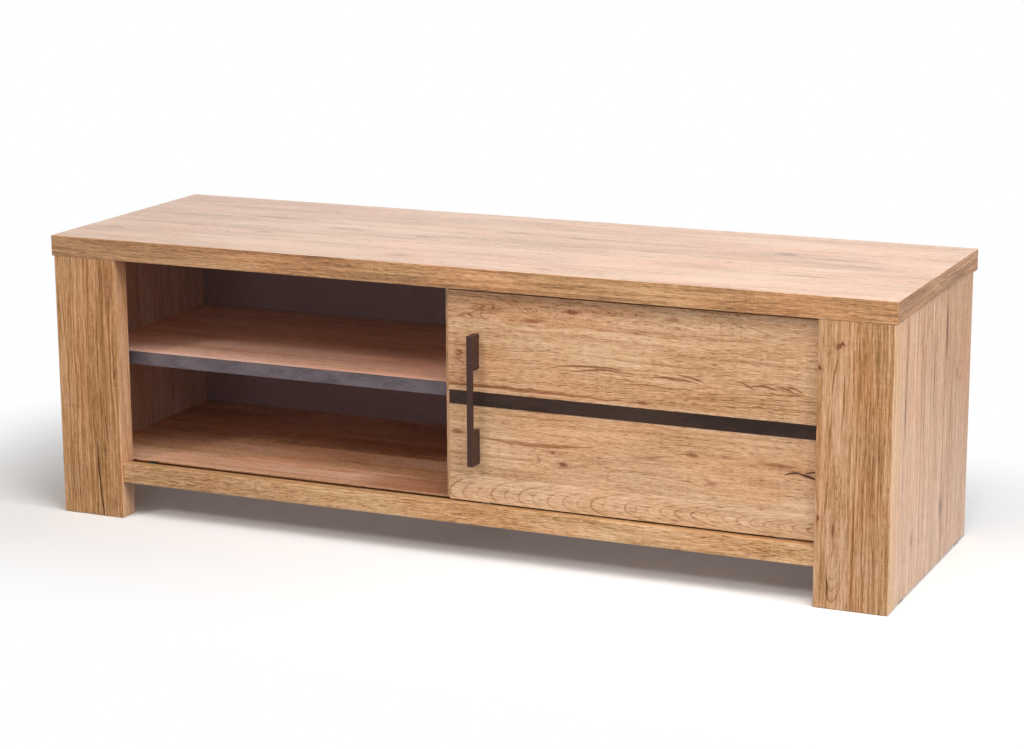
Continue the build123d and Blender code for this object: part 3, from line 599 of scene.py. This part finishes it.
door_cracks = (
    (0, 219, 290, 222, -14, 5.0, 0.50), (566, 199, 606, 206, 4, 3.0, 0.97),
    (588, 207, 632, 196, 2, 3.8, 0.97), (598, 207, 634, 213, 0, 2.4, 0.90),
    (150, 330, 348, 331, 15, 2.8, 0.66), (193, 326, 330, 330, 13, 2.6, 0.62),
    (330, 332, 446, 329, 8, 2.8, 0.68), (386, 346, 450, 331, 3, 2.6, 0.62),
    (484, 344, 528, 328, 4, 2.5, 0.60), (508, 336, 566, 330, 7, 2.5, 0.62),
    (546, 338, 592, 328, 6, 2.5, 0.66), (568, 338, 606, 330, 6, 2.3, 0.60),
    (300, 208, 404, 217, -5, 3.2, 0.40), (-200, 296, 400, 292, 2, 4.4, 0.52),
    (4, 352, 34, 340, 4, 2.0, 0.56), (4, 338, 30, 327, 3, 2.0, 0.52),
    (250, 318, 420, 322, 3, 1.8, 0.38), (430, 312, 610, 316, -3, 1.8, 0.36),
)
dress("door_panel", oak_board("door_oak", "X", door_planks, door_knots, door_cracks, sheet=220.0,
                              contrast=1.12, tint=(1.01, 1.03, 1.07), shine=0.3))

STRIP_DARK = (0.018, 0.009, 0.006)
STRIP_LIGHT = (0.040, 0.021, 0.015)
dress("door_strip", mottled("graphite_strip", STRIP_DARK, STRIP_LIGHT, 30.0, 0.52, stretch=(5, 1, 1),
                            shine=0.2))

# Handle: a flat bar on two tall feet, die-cast in one piece and powder-coated in dark bronze.
# Two screws through the door hold it from behind.
BRONZE_DARK = (0.027, 0.0105, 0.008)
BRONZE_LIGHT = (0.050, 0.022, 0.018)
dress("door_handle", mottled("dark_bronze", BRONZE_DARK, BRONZE_LIGHT, 1.8, 0.45, bump=0.10, shine=0.3))

# Door fittings: moulded housings with grooved nylon wheels below, and guides with a blade above.
# They sit in pockets in the door's back and are screwed there.
PLASTIC_DARK = (0.012, 0.011, 0.011)
PLASTIC_LIGHT = (0.026, 0.024, 0.023)
black_plastic = mottled("black_plastic", PLASTIC_DARK, PLASTIC_LIGHT, 1.6, 0.46, bump=0.10)
NYLON_DARK = (0.66, 0.65, 0.61)
NYLON_LIGHT = (0.78, 0.77, 0.73)
white_nylon = mottled("white_nylon", NYLON_DARK, NYLON_LIGHT, 4.0, 0.40, bump=0.04)
for side in ("left", "right"):
    dress(f"{side}_roller_housing", black_plastic)
    dress(f"{side}_top_guide", black_plastic)
    dress(f"{side}_roller_wheel", white_nylon)

# Feet: moulded plastic glides pinned under the side panels, and a foot under the long bottom panel,
# which is screwed on from below.
for node in ("floor_glides", "centre_foot"):
    dress(node, black_plastic)

# Studio: a white floor, a far narrow lamp at the front left, and softboxes in front, at the right end,
# overhead and behind. Floor and world are white to the eye and to reflections, and dimmer as light,
# and the floor keeps the bench's shadow near it.
FLOOR_WHITE = 0.93
FLOOR_BOUNCE = 0.40
FLOOR_SPAN = 60.0
FLOOR_ROUGHNESS = 0.9
SHADOW_START = 0.02
SHADOW_END = 0.60
BACK_DIMMING = 0.6
DIMMING_START = 0.1
DIMMING_END = 1.8
WORLD_FILL = 0.098
world = bpy.data.worlds.new("studio_world")
world.use_nodes = True
world.cycles.sampling_method = "NONE"
bpy.context.scene.world = world
tree = world.node_tree
backdrop = tree.nodes["Background"]
backdrop.inputs["Color"].default_value = (1, 1, 1, 1)
path = tree.nodes.new("ShaderNodeLightPath")
mirrored = calc(tree, "MAXIMUM", path.outputs["Is Glossy Ray"], path.outputs["Is Transmission Ray"])
seen = calc(tree, "MAXIMUM", path.outputs["Is Camera Ray"], mirrored)
tree.links.new(ease(tree, seen, 0.0, 1.0, WORLD_FILL, 1.0), backdrop.inputs["Strength"])

floor_mesh = bpy.data.meshes.new("studio_floor")
corner = FLOOR_SPAN / 2
floor_corners = [(-corner, -corner, 0), (corner, -corner, 0), (corner, corner, 0), (-corner, corner, 0)]
floor_mesh.from_pydata(floor_corners, [], [(0, 1, 2, 3)])
floor = bpy.data.objects.new("studio_floor", floor_mesh)
bpy.context.scene.collection.objects.link(floor)
floor_finish = bpy.data.materials.new("studio_floor")
floor_finish.use_nodes = True
tree = floor_finish.node_tree
shader = tree.nodes["Principled BSDF"]
shader.inputs["Roughness"].default_value = FLOOR_ROUGHNESS
shader.inputs["Specular IOR Level"].default_value = 0.0
path = tree.nodes.new("ShaderNodeLightPath")
mirrored = calc(tree, "MAXIMUM", path.outputs["Is Glossy Ray"], path.outputs["Is Transmission Ray"])
tree.links.new(ease(tree, path.outputs["Is Diffuse Ray"], 0.0, 1.0, FLOOR_WHITE, FLOOR_BOUNCE),
               shader.inputs["Base Color"])
glow = tree.nodes.new("ShaderNodeEmission")
place = tree.nodes.new("ShaderNodeTexCoord").outputs["Object"]
dimmed = ease(tree, apart(tree, place)[1], DIMMING_START, DIMMING_END, 0.0, BACK_DIMMING)
dimmed = calc(tree, "MULTIPLY", dimmed, mirrored)
tree.links.new(calc(tree, "SUBTRACT", 1.0, dimmed), glow.inputs["Strength"])
footprint = tuple(max(abs(low), abs(high)) for low, high in zip(*cad_box))
outside = add_node(tree, "VectorMath", place, operation="ABSOLUTE")
outside = add_node(tree, "VectorMath", outside, (*footprint[:2], 0), operation="SUBTRACT")
outside = add_node(tree, "VectorMath", outside, (0, 0, 0), operation="MAXIMUM")
away = add_node(tree, "VectorMath", outside, out=1, operation="LENGTH")
far = calc(tree, "MULTIPLY", ease(tree, away, SHADOW_START, SHADOW_END), path.outputs["Is Camera Ray"])
floor_mix = tree.nodes.new("ShaderNodeMixShader")
tree.links.new(calc(tree, "MAXIMUM", far, mirrored), floor_mix.inputs[0])
tree.links.new(shader.outputs[0], floor_mix.inputs[1])
tree.links.new(glow.outputs[0], floor_mix.inputs[2])
tree.links.new(floor_mix.outputs[0], tree.nodes["Material Output"].inputs["Surface"])
floor_mesh.materials.append(floor_finish)

KEY_SPREAD = math.radians(9)
lamps = {
    "far_left_lamp": {"place": (-2.02, -5.0, 4.5), "aim": (0, -0.2, 0.3), "power": 0.70,
                      "tint": (1.07, 1, 0.96)},
    "high_front_lamp": {"place": (-0.6, -2.4, 3.0), "aim": (-0.2, -0.2, 0.4), "size": (2.0, 1.0), "power": 21,
                        "tint": (1.05, 1, 0.95)},
    "right_end_lamp": {"place": (4.5, -0.7, 1.5), "aim": (0.6, -0.1, 0.2), "size": (0.8, 2.0), "power": 139,
                       "tint": (0.96, 1, 1.06)},
    "right_front_lamp": {"place": (2.9, -2.2, 1.5), "aim": (0.6, -0.1, 0.2), "size": (1.0, 1.6), "power": 17,
                         "tint": (0.98, 1, 1.03)},
    "overhead_lamp": {"place": (1.3, -1.35, 2.6), "aim": (0.2, -0.1, 0.3), "size": (1.6, 0.8), "power": 50.5,
                      "tint": (1.04, 1, 0.95)},
    "low_front_lamp": {"place": (0.6, -5.0, 0.9), "aim": (-0.2, 0.0, 0.3), "size": (3.0, 1.4), "power": 50,
                       "tint": (0.89, 1, 1.18)},
    "back_fill_lamp": {"place": (0.6, 4.2, 0.8), "aim": (0.0, 0.2, 0.25), "size": (3.0, 1.0), "power": 60,
                       "tint": (1, 1, 1)},
    "back_lamp": {"place": (-1.6, 6.2, 2.0), "aim": (0.0, 0.0, 0.4), "size": (5.0, 2.4), "power": 8,
                  "tint": (1, 1, 1), "mirrored": True},
}
for name, lamp in lamps.items():
    light = bpy.data.lights.new(name, "AREA" if "size" in lamp else "SUN")
    if "size" in lamp:
        light.shape = "RECTANGLE"
        light.size, light.size_y = lamp["size"]
    else:
        light.angle = KEY_SPREAD
    light.energy = lamp["power"]
    light.color = lamp["tint"]
    holder = bpy.data.objects.new(name, light)
    holder.location = lamp["place"]
    holder.rotation_euler = (Vector(lamp["aim"]) - Vector(lamp["place"])).to_track_quat("-Z", "Y").to_euler()
    holder.visible_camera = False
    holder.visible_glossy = "mirrored" in lamp
    bpy.context.scene.collection.objects.link(holder)

# Camera: a long lens at the right of the front, a little above the top.
# It has no shift and no depth of field, so it can be carried round the bench.
VIEW_AZIMUTH = math.radians(24.145)
VIEW_ELEVATION = math.radians(13.116)
VIEW_ROLL = math.radians(-0.304)
VIEW_DISTANCE = 4.410
VIEW_AIM = Vector((0.0092, 0.0084, 0.2629))
SENSOR_WIDTH = 36.0
FOCAL_LENGTH = 90.82
camera_data = bpy.data.cameras.new("camera")
camera_data.sensor_width = SENSOR_WIDTH
camera_data.lens = FOCAL_LENGTH
camera = bpy.data.objects.new("camera", camera_data)
bpy.context.scene.collection.objects.link(camera)
bpy.context.scene.camera = camera
turn = (Matrix.Rotation(VIEW_AZIMUTH, 4, "Z") @ Matrix.Rotation(math.pi / 2 - VIEW_ELEVATION, 4, "X")
        @ Matrix.Rotation(VIEW_ROLL, 4, "Z"))
camera.matrix_world = Matrix.Translation(VIEW_AIM) @ turn @ Matrix.Translation((0, 0, VIEW_DISTANCE))
bpy.context.scene.view_settings.view_transform = "Standard"
